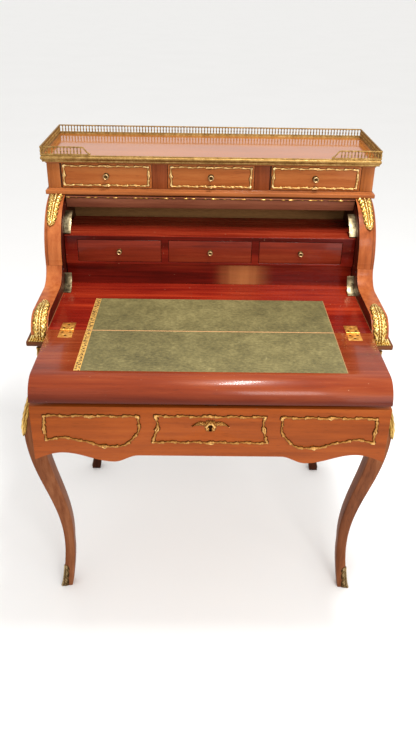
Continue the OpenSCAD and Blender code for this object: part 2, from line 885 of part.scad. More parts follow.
// Outline of the right-hand gilt frame, drawn in by i
module side_frame_outline(i) {
    x0 = 134 + i;
    x1 = 321 - i;
    top = frieze_top - 17 - i;
    foot = 33 + i;
    turn_x = lobe_low + 3;
    side_z = frieze_low + 72;
    low_z = frieze_low + serpentine(turn_x) + foot;
    curve = [for (a = [180 : 10 : 260])
        [turn_x + (turn_x - x0) * cos(a), side_z + (side_z - low_z) * sin(a)]];
    low = [for (x = [turn_x : 10 : x1 - 4]) [x, frieze_low + serpentine(x) + foot]];
    polygon(concat([[x0, top]], curve, low, [[x1, frieze_low + serpentine(x1) + foot], [x1, top]]));
}

module middle_frame_outline(i) {
    top = frieze_top - 16 - i;
    low = frieze_low + 30 + i;
    side = [for (t = [0 : 0.1 : 1.001]) [117 - i - 9 * t - 7 * sin(180 * t), low + (top - low) * t]];
    n = len(side);
    other = [for (k = [n - 1 : -1 : 0]) [-side[k][0], side[k][1]]];
    polygon(concat(side, other));
}

module frieze_frames() {
    color("gold") settle() through(frieze_y - frame_t, frieze_y) {
        for (s = [0, 1]) mirror([s, 0]) difference() {
            side_frame_outline(0);
            side_frame_outline(frame_w);
        }
        difference() {
            middle_frame_outline(0);
            middle_frame_outline(frame_w);
        }
    }
}

// Winged plate round the keyhole
module escutcheon() {
    wing = [for (a = [0 : 10 : 350])
        [36 * cos(a), keyhole_z + 2 + (9 + 8 * pow(abs(sin(a)), 3)) * sin(a)]];
    color("gold") settle() through(frieze_y - frame_t, frieze_y) difference() {
        polygon(wing);
        keyhole();
    }
}

module lock_case() {
    color("gray") settle() difference() {
        block([-lock_x, frieze_y + 8, keyhole_z - 25], [lock_x, lock_y, frieze_top - 4]);
        block([-bolt_x - turn_gap, bolt_y - bolt_half - turn_gap, keyhole_z - 10],
            [bolt_x + turn_gap, bolt_y + bolt_half + turn_gap, frieze_top]);
        through(frieze_y + 7, frieze_y + 11) keyhole();
    }
}

module lock_bolt() {
    color("silver") settle()
        block([-bolt_x, bolt_y - bolt_half, keyhole_z - 9],
            [bolt_x, bolt_y + bolt_half, frieze_top - slide_gap]);
}

ledge_board();
front_rail();
back_apron();
side_aprons();
drawer_guides();
front_left_leg();
front_right_leg();
back_left_leg();
back_right_leg();
sabots();
knee_mounts();
writing_bed();
rear_leather();
bed_hinge_leaves();
bed_hinge_screws();
hinge_pins();
left_scroll();
right_scroll();
left_cheek();
right_cheek();
brass_tracks();
upper_acanthus();
lower_acanthus();
case_back();
upper_floor();
upper_sides();
upper_dividers();
upper_top();
edge_moulding();
gallery();
inner_case();
recess_panel();
flap_board();
flap_leather();
flap_hinge_leaves();
flap_hinge_screws();
cylinder_shell();
cylinder_rail();
cylinder_trim();
frieze_front();
frieze_box();
frieze_frames();
escutcheon();
lock_case();
lock_bolt();
upper_left_drawer();
upper_middle_drawer();
upper_right_drawer();
upper_left_frame();
upper_middle_frame();
upper_right_frame();
upper_left_knob();
upper_middle_knob();
upper_right_knob();
inner_left_drawer();
inner_middle_drawer();
inner_right_drawer();
inner_left_knob();
inner_middle_knob();
inner_right_knob();
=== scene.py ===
import json
import math

import bmesh
import bpy
from mathutils import Matrix, Vector


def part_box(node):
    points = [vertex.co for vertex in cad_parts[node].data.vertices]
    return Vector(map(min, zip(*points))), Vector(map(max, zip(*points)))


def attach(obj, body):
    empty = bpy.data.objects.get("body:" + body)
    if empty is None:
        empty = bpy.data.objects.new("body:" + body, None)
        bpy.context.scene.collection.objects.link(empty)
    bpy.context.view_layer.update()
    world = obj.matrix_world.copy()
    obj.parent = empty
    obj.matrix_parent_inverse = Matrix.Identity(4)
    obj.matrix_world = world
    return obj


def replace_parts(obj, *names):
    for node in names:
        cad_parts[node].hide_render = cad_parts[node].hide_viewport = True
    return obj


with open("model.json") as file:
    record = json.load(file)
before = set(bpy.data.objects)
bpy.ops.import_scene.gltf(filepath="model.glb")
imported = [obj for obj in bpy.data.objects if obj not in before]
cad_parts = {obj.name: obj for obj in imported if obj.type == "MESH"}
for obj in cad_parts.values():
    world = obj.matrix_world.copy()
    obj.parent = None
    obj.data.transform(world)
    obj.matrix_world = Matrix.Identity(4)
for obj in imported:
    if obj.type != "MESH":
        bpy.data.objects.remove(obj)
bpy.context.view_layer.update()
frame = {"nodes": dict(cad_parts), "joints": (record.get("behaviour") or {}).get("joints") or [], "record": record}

# ---- Camera and room ----
# The camera stands at eye height in front of the desk and looks down into it. The room is
# a pale floor that runs far back, white surroundings and soft panels of light.
LENS = 34.54
EYE = Vector((-0.023, -1.5115, 1.438))
TURN, DOWN, TILT = (math.radians(a) for a in (-0.83, 60.31, 1.03))
FLOOR_REACH = 60

camera_data = bpy.data.cameras.new("camera")
camera_data.sensor_fit = "VERTICAL"
camera_data.sensor_height = 36
camera_data.lens = LENS
camera = bpy.data.objects.new("camera", camera_data)
camera.matrix_world = (Matrix.Translation(EYE) @ Matrix.Rotation(TURN, 4, "Z")
                       @ Matrix.Rotation(DOWN, 4, "X") @ Matrix.Rotation(TILT, 4, "Z"))
bpy.context.collection.objects.link(camera)
bpy.context.scene.camera = camera
bpy.context.scene.view_settings.view_transform = "Standard"


class Tone:
    """A value that varies over a surface; sums written on it become Math nodes."""

    def __init__(self, finish, socket):
        self.finish = finish
        self.socket = socket

    def maths(self, operation, *values):
        return self.finish.add("ShaderNodeMath", {"operation": operation}, dict(enumerate(values)))

    def __add__(self, other):
        return self.maths("ADD", self, other)

    def __sub__(self, other):
        return self.maths("SUBTRACT", self, other)

    def __rsub__(self, other):
        return self.maths("SUBTRACT", other, self)

    def __mul__(self, other):
        return self.maths("MULTIPLY", self, other)

    def __truediv__(self, other):
        return self.maths("DIVIDE", self, other)

    def __abs__(self):
        return self.maths("ABSOLUTE", self)

    __radd__ = __add__
    __rmul__ = __mul__

    def clear(self, low, high):
        """0 below low, 1 above high, and a smooth rise between them."""
        return self.finish.add("ShaderNodeMapRange", {"interpolation_type": "SMOOTHSTEP"},
                               {"Value": self, "From Min": low, "From Max": high})


class Finish:
    """One material: a Principled surface, and the nodes that feed it."""

    def __init__(self, name, fixed):
        self.material = bpy.data.materials.new(name)
        self.material.use_nodes = True
        self.tree = self.material.node_tree
        self.surface = self.tree.nodes["Principled BSDF"]
        for label, value in fixed.items():
            self.surface.inputs[label].default_value = value

    def add(self, kind, settings, inputs, output=0):
        made = self.tree.nodes.new(kind)
        for label, value in settings.items():
            if label == "stops":
                ramp = made.color_ramp
                while len(ramp.elements) < len(value):
                    ramp.elements.new(0.5)
                for stop, (place, colour) in zip(ramp.elements, value):
                    stop.position, stop.color = place, colour
            else:
                setattr(made, label, value)
        for label, value in inputs.items():
            if isinstance(value, Tone):
                self.tree.links.new(value.socket, made.inputs[label])
            else:
                made.inputs[label].default_value = value
        return Tone(self, made.outputs[output])

    def place(self, shift=(0, 0, 0), scale=(1, 1, 1)):
        """Where a point is on the object, moved and stretched."""
        spot = self.add("ShaderNodeTexCoord", {}, {}, "Object")
        return self.add("ShaderNodeMapping", {}, {"Vector": spot, "Location": shift, "Scale": scale})

    def noise(self, spot, scale, detail=3, roughness=0.5, distortion=0):
        return self.add("ShaderNodeTexNoise", {}, {"Vector": spot, "Scale": scale, "Detail": detail,
                                                   "Roughness": roughness, "Distortion": distortion})

    def axes(self, spot):
        """X, Y and Z of a place as three tones."""
        made = self.tree.nodes.new("ShaderNodeSeparateXYZ")
        self.tree.links.new(spot.socket, made.inputs[0])
        return [Tone(self, made.outputs[i]) for i in range(3)]

    def blend(self, share, first, second):
        """The first colour turning into the second as share goes from 0 to 1."""
        return self.add("ShaderNodeMix", {"data_type": "RGBA"}, {0: share, 6: first, 7: second}, 2)

    def feed(self, label, tone):
        self.tree.links.new(tone.socket, self.surface.inputs[label])

    def recolour(self, share, colour):
        """Turns the surface's present colour into another one, where share is 1."""
        present = Tone(self, self.surface.inputs["Base Color"].links[0].from_socket)
        self.feed("Base Color", self.blend(share, present, colour))

    def relief(self, height, distance, strength):
        bump = self.add("ShaderNodeBump", {}, {"Height": height, "Distance": distance, "Strength": strength})
        self.feed("Normal", bump)


def paint(red, green, blue):
    """A colour from its 0 to 255 values on a paint card."""
    shares = [((c / 255 + 0.055) / 1.055) ** 2.4 if c > 10 else c / 3295 for c in (red, green, blue)]
    return (*shares, 1)


floor_finish = Finish("pale_floor", {"Roughness": 0.75, "Specular IOR Level": 0.15})
floor_cloud = floor_finish.noise(floor_finish.place(), 1.5)
floor_colour = floor_finish.blend(floor_cloud, paint(243, 243, 242), paint(247, 247, 246))
floor_finish.feed("Base Color", floor_colour)

bm = bmesh.new()
bmesh.ops.create_grid(bm, x_segments=2, y_segments=2, size=FLOOR_REACH)
floor_mesh = bpy.data.meshes.new("floor")
bm.to_mesh(floor_mesh)
floor_mesh.materials.append(floor_finish.material)
floor = bpy.data.objects.new("floor", floor_mesh)
bpy.context.collection.objects.link(floor)

world = bpy.data.worlds.new("white_room")
world.use_nodes = True
world.node_tree.nodes["Background"].inputs["Color"].default_value = (1, 0.99, 0.98, 1)
world.node_tree.nodes["Background"].inputs["Strength"].default_value = 0.95
bpy.context.scene.world = world

# Each panel's place, the point it faces, its width and height, and its power in watts.
LIGHTS = {
    "window_panel": ((0.8, -2.4, 2.15), (0.0, 0.1, 0.85), 0.9, 0.7, 31),
    "ceiling_lamp": ((0.27, -0.42, 2.6), (0.0, -0.35, 0.7), 0.75, 0.2, 46),
    "left_panel": ((-1.5, -2.2, 1.8), (0.0, 0.0, 0.7), 1.0, 1.4, 2),
    "right_panel": ((1.6, -1.9, 0.9), (0.1, -0.2, 0.5), 1.0, 1.2, 11),
}
for name, (place, aim, width, height, power) in LIGHTS.items():
    panel = bpy.data.lights.new(name, "AREA")
    panel.shape = "RECTANGLE"
    panel.size, panel.size_y, panel.energy = width, height, power
    lamp = bpy.data.objects.new(name, panel)
    lamp.location = place
    lamp.rotation_euler = (Vector(aim) - Vector(place)).to_track_quat("-Z", "Y").to_euler()
    bpy.context.collection.objects.link(lamp)


# ---- Boards of the case ----
# The carcass is solid mahogany and mahogany veneer under French polish: the ledge round the
# desk, its rail and aprons, the upper case and its dividers. Every board has eased edges.
def polished_wood(name, colours, grain, figure=9, streaks=90, gloss=0.3, coat=0.05, shift=0.0, ribbon=0.5,
                  specks=0.0, sheen=0.08, waves=0.5):
    """Polished timber whose grain runs along one axis: broad figure, fine streaks and dark pores.
    shift picks another part of the log, ribbon strengthens the figure, specks are chips in the polish."""
    finish = Finish(name, {"Coat Roughness": 0.1, "Specular IOR Level": sheen, "Coat Weight": coat})
    along = "XYZ".index(grain)
    spot = finish.place((shift, shift * 0.7, shift * 1.3), [0.05 if i == along else 1 for i in range(3)])
    broad = finish.noise(spot, figure, 3, 0.5, 0.8)
    fine = finish.noise(spot, streaks, 6, 0.62, 0.3)
    pores = finish.noise(finish.place(scale=[0.09 if i == along else 1 for i in range(3)]), 620, 2)
    cloud = finish.noise(finish.place((shift, 0, 0)), 5, 2)
    tone = (broad * 0.55 + fine * 0.45 - 0.5) * (1.6 + ribbon) + 0.5 + (cloud - 0.5) * 0.35
    dark, middle, light = colours
    stops = [(0.15, dark), (0.5, middle), (0.85, light)]
    colour = finish.add("ShaderNodeValToRGB", {"stops": stops}, {0: tone})
    pore = pores.clear(0.60, 0.72) * 0.25
    colour = finish.blend(pore, colour, tuple(c * 0.25 for c in dark[:3]) + (1,))
    if specks:
        chips = finish.noise(finish.place((shift, 1, 2)), 240, 1, 0.4).clear(0.79, 0.82) * specks
        colour = finish.blend(chips, colour, paint(214, 170, 132))
    finish.feed("Base Color", colour)
    finish.feed("Roughness", fine * 0.1 + gloss + pore * 0.3)
    finish.relief(fine * 0.4 - pore * 0.6, 0.0002, waves)
    return finish


def piece(name, bm, body, finish, smooth=35):
    """Makes a finished mesh into a piece that rides on a body."""
    mesh = bpy.data.meshes.new(name)
    bm.to_mesh(mesh)
    bm.free()
    mesh.materials.append(finish.material)
    mesh.shade_smooth()
    mesh.set_sharp_from_angle(angle=math.radians(smooth))
    made = bpy.data.objects.new(name, mesh)
    bpy.context.collection.objects.link(made)
    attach(made, body)
    return made


# A board that mirrors the room keeps its broad faces flat: only turns under 8 degrees are smooth.
FLAT = 8
body_of_node = {n: body for body, group in frame["record"]["behaviour"]["bodies"].items() for n in group}


def eased(node, finish, width=0.0012, segments=2, others=(), choose=None, smooth=35):
    """A copy of a board as it is cut, with its sharp edges rounded over. choose() gives the finish
    of a face from its middle and its way out: 0 for the first, 1 and 2 for the others."""
    bm = bmesh.new()
    bm.from_mesh(frame["nodes"][node].data)
    bmesh.ops.remove_doubles(bm, verts=bm.verts, dist=0.00001)
    bmesh.ops.dissolve_limit(bm, angle_limit=math.radians(0.2), verts=bm.verts, edges=bm.edges)
    sharp = [e for e in bm.edges if e.is_manifold and e.calc_face_angle() > math.radians(30)]
    bmesh.ops.bevel(bm, geom=sharp, offset=width, offset_type="OFFSET", segments=segments, profile=0.5,
                    affect="EDGES", clamp_overlap=True, material=-1)
    bm.normal_update()
    if choose:
        for face in bm.faces:
            face.material_index = choose(face.calc_center_median(), face.normal)
    made = piece(node + "_made", bm, body_of_node[node], finish, smooth)
    for other in others:
        made.data.materials.append(other.material)
    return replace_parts(made, node)


case_tones = (paint(100, 50, 16), paint(146, 82, 38), paint(170, 104, 58))
case_wood = polished_wood("case_mahogany_long", case_tones, "X")
case_wood_deep = polished_wood("case_mahogany_deep", case_tones, "Y", shift=3.1)
case_wood_upright = polished_wood("case_mahogany_upright", case_tones, "Z", shift=1.7)

# The ledge board takes a darker copy of the case wood: painted shade.
shaded_ledge_tones = (paint(72, 36, 14), paint(108, 60, 30), paint(132, 80, 46))
shaded_ledge_wood = polished_wood("ledge_mahogany_shaded", shaded_ledge_tones, "X", shift=2.9)
eased("ledge_board", shaded_ledge_wood, 0.003, 3)
eased("front_rail", case_wood)
eased("back_apron", case_wood, 0.0015)
eased("side_aprons", case_wood_deep, 0.0015)


# ---- Legs ----
# Four cabriole legs of square section, sawn from thick mahogany, worked to a double curve
# and polished darker than the case. Their long edges are rounded by hand.
leg_tones = (paint(74, 38, 20), paint(112, 63, 36), paint(142, 90, 58))
# The back legs take a darker copy of the leg wood: painted shade.
shaded_back_leg_tones = (paint(34, 15, 8), paint(62, 30, 16), paint(84, 46, 28))
leg_wood = polished_wood("leg_mahogany", leg_tones, "Z", figure=12, shift=2.3, coat=0.0, sheen=0.05)
shaded_back_leg_wood = polished_wood("back_leg_mahogany_shaded", shaded_back_leg_tones, "Z", figure=12, shift=1.3, coat=0.0,
                              sheen=0.05)
for side in ("left", "right"):
    eased("front_" + side + "_leg", leg_wood, 0.0025, 3)
    eased("back_" + side + "_leg", shaded_back_leg_wood, 0.0025, 3)


# ---- Cast mounts on the legs ----
# Gilt brass castings pinned to the outer corner of each leg: a long leaf over each front knee,
# and a leaf with a curled toe on each foot. The crests are rubbed bright, the hollows are dark.
def cast_brass(name, tones, roughness=0.3):
    """Cast brass, with tones for its hollows, its dull and its plain parts, and its bright crests."""
    finish = Finish(name, {"Metallic": 1.0})
    spot = finish.place()
    crest = finish.add("ShaderNodeAttribute", {"attribute_name": "crest"}, {}, 2)
    grime = finish.noise(spot, 260, 5, 0.65)
    stops = list(zip((0.12, 0.34, 0.58, 0.9), tones))
    colour = finish.add("ShaderNodeValToRGB", {"stops": stops}, {0: crest * 0.8 + grime * 0.5 - 0.12})
    finish.feed("Base Color", colour)
    finish.feed("Roughness", (1 - crest) * 0.25 + grime * 0.2 + roughness - 0.1)
    finish.relief(grime, 0.0003, 0.5)
    return finish


gilt = cast_brass("gilt_brass", (paint(60, 38, 14), paint(138, 104, 46), paint(196, 160, 86),
                                 paint(244, 222, 156)))
foot_gilt = cast_brass("foot_brass", (paint(26, 16, 10), paint(62, 44, 26), paint(112, 88, 54),
                                      paint(190, 168, 124)))
knee_gilt = cast_brass("knee_brass", (paint(40, 24, 10), paint(96, 66, 26), paint(160, 122, 58),
                                      paint(214, 180, 110)))


def casting(columns, rows, place, ring=False):
    """A block whose front is bent into a casting and whose back lies in the wood. place(u, v)
    gives, for u and v from -1 to 1, a point on the wood, the way out of it, the height of the
    casting and how bright it is rubbed. A ring joins up at its ends."""
    bm = bmesh.new()
    bmesh.ops.create_grid(bm, x_segments=columns, y_segments=rows, size=1)
    crest = bm.verts.layers.float.new("crest")
    raised = bmesh.ops.extrude_face_region(bm, geom=bm.faces[:], use_keep_orig=True)
    if ring:
        ends = [f for f in bm.faces if all(abs(v.co.x) > 0.99999 for v in f.verts)]
        bmesh.ops.delete(bm, geom=ends, context="FACES_ONLY")
    front = {g for g in raised["geom"] if isinstance(g, bmesh.types.BMVert)}
    for vert in bm.verts:
        foot, out, height, shine = place(vert.co.x, vert.co.y)
        vert.co = foot + out * (height if vert in front else -0.0003)
        vert[crest] = shine if vert in front else 0
    if ring:
        bmesh.ops.remove_doubles(bm, verts=bm.verts, dist=0.00001)
    bmesh.ops.recalc_face_normals(bm, faces=bm.faces)
    return bm


def leaf(u, v, lobes, flutes=2.0):
    """Acanthus relief at u across and v along the leaf, root at -1 and tip at 1: how far the
    edge stands from the middle line, and the height of the casting, both from 0 to 1."""
    along = (v + 1) / 2
    side = abs(u)
    wave = abs(math.sin(math.pi * lobes * along))
    edge = (1 - along ** 5) ** 0.5 * (0.93 + 0.07 * math.cos(2 * math.pi * along))
    edge *= 1 - 0.24 * (1 - wave) ** 2 * min(1, along * 5)
    dome = math.sqrt(max(0, 1 - side ** 3))
    stems = abs(math.cos(math.pi * flutes * side)) ** 1.2
    fingers = abs(math.sin(math.pi * (lobes * along - 0.9 * side + 0.25)))
    share = min(1, max(0, (side - 0.3) / 0.3))
    beads = 0.5 + 0.5 * math.sin(2 * math.pi * (along * lobes * 2.5 + side * 2))
    bud = math.exp(-((side / 0.5) ** 2) - ((along - 0.9) / 0.08) ** 2)
    height = dome * (0.22 + 0.46 * (stems * (1 - share) + fingers * share) + 0.22 * beads) + 0.25 * bud
    return edge, min(1, height)


def corner_line(node, x_sign, y_sign):
    """The outer corner of a leg as heights with their X and Y, lowest first."""
    rings = {}
    for vert in frame["nodes"][node].data.vertices:
        rings.setdefault(round(vert.co.z, 4), []).append(vert.co)
    return [(z, max(c.x * x_sign for c in ring) * x_sign, max(c.y * y_sign for c in ring) * y_sign)
            for z, ring in sorted(rings.items())]


def corner_at(line, z):
    """The point of a corner line at one height."""
    for (z0, x0, y0), (z1, x1, y1) in zip(line, line[1:]):
        if z <= z1:
            share = (z - z0) / (z1 - z0)
            return Vector((x0 + (x1 - x0) * share, y0 + (y1 - y0) * share, z))
    return Vector((line[-1][1], line[-1][2], z))


def corner_leaf(node, x_sign, y_sign, low, high, width, proud, lobes, toe=0.0):
    """A leaf that folds over the outer corner of a leg, from its root at low to its tip at high. Toe
    is how far its root curls out."""
    line = corner_line(node, x_sign, y_sign)

    def place(u, v):
        edge, height = leaf(u, v, lobes)
        along = (v + 1) / 2
        z = low + (high - low) * along
        corner = corner_at(line, z)
        reach = abs(u) * edge * width
        out = Vector((x_sign, 0, 0)) if u > 0 else Vector((0, y_sign, 0))
        slide = Vector((0, -y_sign, 0)) if u > 0 else Vector((-x_sign, 0, 0))
        turn = max(0, 1 - abs(u) * 3)
        out = (out + Vector((x_sign, y_sign, 0)) * turn * 0.7).normalized()
        curl = toe * math.exp(-(along / 0.16) ** 2) * max(0, 1 - u * u)
        return corner + slide * reach, out, proud * (height + curl), height
    return casting(22, 44, place)


KNEE_TOP, KNEE_FOOT = 0.713, 0.508
SABOT_FOOT, SABOT_TOP = 0.0012, 0.066
SIDES = (("left", -1), ("right", 1))
for side, x_sign in SIDES:
    knee = corner_leaf("front_" + side + "_leg", x_sign, -1, KNEE_TOP, KNEE_FOOT, 0.0135, 0.0048, 5)
    made = piece(side + "_knee_mount", knee, "case", knee_gilt, 50)
    if side == "left":
        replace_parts(made, "knee_mounts")
    for end, y_sign in (("front", -1), ("back", 1)):
        corner = end + "_" + side
        foot = corner_leaf(corner + "_leg", x_sign, y_sign, SABOT_FOOT, SABOT_TOP, 0.0165, 0.0024, 3, 0.9)
        made = piece(corner + "_sabot", foot, "case", foot_gilt, 50)
        if side == "left" and end == "front":
            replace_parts(made, "sabots")


# ---- Scrolled sides ----
# Each side is an S shaped plank in two lengths, with a joint line behind the cove. A darker band
# of painted shade and a thin painted shadow line run down the outer edge of the upper length, on its face.
side_tones = (paint(96, 42, 16), paint(144, 74, 36), paint(174, 102, 56))
side_wood = polished_wood("side_mahogany", side_tones, "Z", figure=7, streaks=70, shift=4.4)
edge_shaded_wood = polished_wood("side_mahogany_edge_shaded", side_tones, "Z", figure=7, streaks=70, shift=4.9)
# On the cheeks' faces: a band of painted shade along the outer edge, and a thin painted shadow line at its inner
# side.
across = abs(edge_shaded_wood.axes(edge_shaded_wood.place())[0])
edge_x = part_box("right_cheek")[1].x
SHADE_BAND_INSET = 0.0062
shade_band_x = edge_x - SHADE_BAND_INSET
shade_band = across.clear(shade_band_x - 0.0002, shade_band_x + 0.0002) * (1 - across.clear(edge_x - 0.0012, edge_x))
shadow_line = across.clear(shade_band_x - 0.0014, shade_band_x - 0.0008)
shadow_line *= 1 - across.clear(shade_band_x + 0.0002, shade_band_x + 0.0006)
edge_shaded_wood.recolour(shade_band * 0.3, paint(84, 38, 16))
edge_shaded_wood.recolour(shadow_line * 0.7, paint(70, 30, 12))

shadow_tones = (paint(30, 8, 5), paint(56, 16, 9), paint(84, 28, 15))
shadow_wood = polished_wood("side_mahogany_inner", shadow_tones, "Z", gloss=0.25, shift=3.3, specks=0.9)
height = shadow_wood.axes(shadow_wood.place())[2]
# A thin pale tan line is painted along the foot of the inner faces, just above the writing bed.
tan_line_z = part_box("writing_bed")[1].z + 0.0014
shadow_wood.recolour((1 - abs(height - tan_line_z).clear(0.0007, 0.0012)) * 0.8, paint(176, 128, 84))
inner_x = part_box("right_scroll")[0].x + 0.012
for part, finish in (("scroll", side_wood), ("cheek", edge_shaded_wood)):
    for side in ("left", "right"):
        eased(side + "_" + part, finish, 0.003, 4, [shadow_wood],
              lambda centre, way: abs(centre.x) < inner_x)


# ---- Acanthus mounts ----
# Cast and gilt leaves on the front of the scrolled sides: one hangs from the cornice over the
# roll, one climbs from the ledge over the nose of the scroll, on a flat chased foot.
fall_joint = next(j for j in frame["joints"] if j["name"] == "fall_turn")
roll_axis = Vector(fall_joint["pos_m"])
roll_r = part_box("upper_floor")[0].z - roll_axis.z
scroll_low, scroll_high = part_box("right_scroll")
leaf_x = (scroll_low.x + scroll_high.x) / 2
HANG_FROM, HANG_TO = math.radians(100.5), math.radians(144.5)
LEAF_T = 0.006
NOSE_R = 0.044
nose_axis = Vector((0, scroll_low.y + NOSE_R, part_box("lower_acanthus")[1].z - LEAF_T - NOSE_R))


def hanging_leaf(x_sign):
    """A leaf bent round the roll of a side, its root under the cornice."""
    def place(u, v):
        edge, height = leaf(u, v, 7)
        along = (v + 1) / 2
        angle = HANG_FROM + (HANG_TO - HANG_FROM) * along
        out = Vector((0, math.cos(angle), math.sin(angle)))
        x = leaf_x + 0.001 + 0.0038 * along ** 2 + u * edge * (0.0168 - 0.0022 * along)
        base = Vector((x_sign * x, roll_axis.y, roll_axis.z)) + out * roll_r
        return base, out, 0.0062 * height, height
    return casting(40, 72, place)


def climbing_leaf(x_sign):
    """A leaf that stands on the ledge and bends back over the nose of the scroll."""
    rise, flat = nose_axis.z - scroll_low.z, 0.041
    turn = NOSE_R * math.pi / 2

    def place(u, v):
        edge, height = leaf(u, v, 7, 2.5)
        root = 1.0 - 0.24 * math.exp(-((v + 0.78) / 0.22) ** 2)
        way = (rise + turn + flat) * (v + 1) / 2
        if way < rise:
            base, out = Vector((0, nose_axis.y - NOSE_R, scroll_low.z + way)), Vector((0, -1, 0))
        elif way < rise + turn:
            angle = math.pi - (way - rise) / NOSE_R
            out = Vector((0, math.cos(angle), math.sin(angle)))
            base = nose_axis + out * NOSE_R
        else:
            base, out = nose_axis + Vector((0, way - rise - turn, NOSE_R)), Vector((0, 0, 1))
        base.x = x_sign * (leaf_x + u * edge * root * 0.0178)
        return base, out, LEAF_T * height, height
    return casting(40, 96, place)


def chased_foot(x_sign):
    """A flat leafy plate on the ledge in front of the scroll, which turns up against it."""
    half, flat, rise = 0.0235, 0.008, 0.012

    def place(u, v):
        way = (flat + rise) * (v + 1) / 2
        x = x_sign * (leaf_x + 0.001) + u * half * (1 - 0.28 * max(0, way - flat) / rise)
        scallop = abs(math.cos(math.pi * 4.5 * u))
        height = 0.0014 * (0.4 + 0.6 * scallop) * math.sqrt(max(0, 1 - u ** 6))
        if way < flat:
            base = Vector((x, scroll_low.y - flat + way, scroll_low.z))
            return base, Vector((0, 0, 1)), height + 0.0004, scallop
        return Vector((x, scroll_low.y, scroll_low.z + way - flat)), Vector((0, -1, 0)), height, scallop
    return casting(44, 10, place)


for side, x_sign in SIDES:
    upper = piece(side + "_hanging_leaf", hanging_leaf(x_sign), "case", gilt, 50)
    lower = piece(side + "_climbing_leaf", climbing_leaf(x_sign), "case", gilt, 50)
    piece(side + "_leaf_foot", chased_foot(x_sign), "case", gilt)
    if side == "left":
        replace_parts(upper, "upper_acanthus")
        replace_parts(lower, "lower_acanthus")


# ---- Writing bed and flap ----
# A wide red mahogany board with a thick rounded nose, and the bed that it meets at the
# hinges. Both are polished bright, and the polish is chipped. The flap is painted darker towards the foot of its
# lip: painted shade.
red_tones = (paint(56, 6, 3), paint(108, 19, 9), paint(150, 46, 21))
writing_wood = polished_wood("writing_mahogany", red_tones, "X", figure=8, streaks=70, gloss=0.2, coat=0.25,
                             shift=6.2, ribbon=0.8, specks=0.8, sheen=0.2)
eased("writing_bed", writing_wood, 0.0008, smooth=FLAT)
flap_tones = (paint(76, 24, 10), paint(114, 44, 19), paint(142, 68, 32))
flap_wood = polished_wood("flap_mahogany", flap_tones, "X", figure=8, streaks=70, gloss=0.22, coat=0.14,
                          shift=7.7, ribbon=0.2, specks=0.5, sheen=0.12)
# Painted shade: the flap grows darker towards the foot of its lip.
height = flap_wood.axes(flap_wood.place())[2]
lip_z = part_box("flap_board")[0].z
flap_wood.recolour((1 - height.clear(lip_z + 0.002, lip_z + 0.026)) * 0.6, paint(62, 16, 8))
eased("flap_board", flap_wood, 0.0012, 2)


# ---- Leather ----
# Two skins of olive green hide are let into the bed and the flap, so that they lie as one when
# the desk is open. A scrolled band is tooled in gold leaf down their left side, and the cut
# edges show the tan inside of the hide.
hide_low, hide_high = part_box("flap_leather")
BAND_W, SCROLL_L, CUT_W = 0.0125, 0.0065, 0.0012
leather = Finish("green_hide", {"Specular IOR Level": 0.3})
hide = leather.place()
cloud = leather.noise(hide, 6, 4, 0.6)
worn = leather.noise(hide, 28, 5, 0.65)
hairs = leather.noise(leather.place(scale=(0.6, 1, 1)), 210, 4, 0.75)
cells = leather.add("ShaderNodeTexVoronoi", {}, {"Vector": hide, "Scale": 750})
hide_tones = [(0.36, paint(62, 58, 34)), (0.5, paint(95, 87, 52)), (0.66, paint(130, 119, 76))]
age = cloud * 0.3 + worn * 0.25 + hairs * 0.45
green = leather.add("ShaderNodeValToRGB", {"stops": hide_tones}, {0: age})
rubs = leather.noise(leather.place(scale=(1, 0.25, 1)), 60, 3, 0.6).clear(0.66, 0.76) * 0.35
green = leather.blend(rubs, green, paint(152, 142, 100))
x, y = leather.axes(hide)[:2]
across = (x - hide_low.x) / BAND_W
row = y * (math.pi / SCROLL_L)
curl = abs(leather.add("ShaderNodeMath", {"operation": "SINE"}, {0: row}) * 0.34 + 0.5 - across)
vine = 1 - curl.clear(0.05, 0.12)
leafy = leather.noise(hide, 230, 2, 0.5).clear(0.49, 0.54)
line = 1 - abs(abs(across - 0.5) - 0.44).clear(0.03, 0.07)
gold_share = leather.add("ShaderNodeMath", {"operation": "MAXIMUM"}, {0: vine, 1: leafy * 0.75})
gold_share = leather.add("ShaderNodeMath", {"operation": "MAXIMUM"}, {0: gold_share, 1: line})
in_band = 1 - across.clear(0.98, 1.02)
tooled = leather.blend(gold_share, paint(78, 56, 26), paint(236, 186, 98))
colour = leather.blend(in_band, green, tooled)
hinge_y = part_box("flap_board")[1].y
cut = 1 - abs(y - hinge_y).clear(CUT_W, CUT_W + 0.0004)
right_cut = x.clear(hide_high.x - 0.0014, hide_high.x - 0.0008) * 0.6
cut = leather.add("ShaderNodeMath", {"operation": "MAXIMUM"}, {0: cut * 0.85, 1: right_cut})
leather.feed("Base Color", leather.blend(cut, colour, paint(190, 140, 92)))
leather.feed("Metallic", in_band * gold_share * 0.6)
leather.feed("Roughness", worn * 0.2 + 0.44 - in_band * gold_share * 0.12)
leather.relief(cells * 0.7 + worn * 0.6 - in_band * gold_share * 0.5, 0.0004, 0.7)
for name in ("rear_leather", "flap_leather"):
    eased(name, leather, 0.0002, 1, smooth=FLAT)


# ---- Brass ----
# The flap's hinges are sheet brass with turned barrels, held by slotted screws that have gone
# dark. The gallery, moulding and tracks are of a browner brass.
def sheet_brass(name, tones, roughness=0.3, grain=140):
    """Rolled or drawn brass, with dull, plain and bright tones in patches."""
    finish = Finish(name, {"Metallic": 1.0})
    spot = finish.place()
    broad = finish.noise(spot, grain * 0.25, 3, 0.6)
    grime = finish.noise(spot, grain, 5, 0.65)
    stops = list(zip((0.3, 0.5, 0.72), tones))
    colour = finish.add("ShaderNodeValToRGB", {"stops": stops}, {0: broad * 0.5 + grime * 0.5})
    finish.feed("Base Color", colour)
    finish.feed("Roughness", grime * 0.3 + roughness)
    finish.relief(grime, 0.0002, 0.4)
    return finish


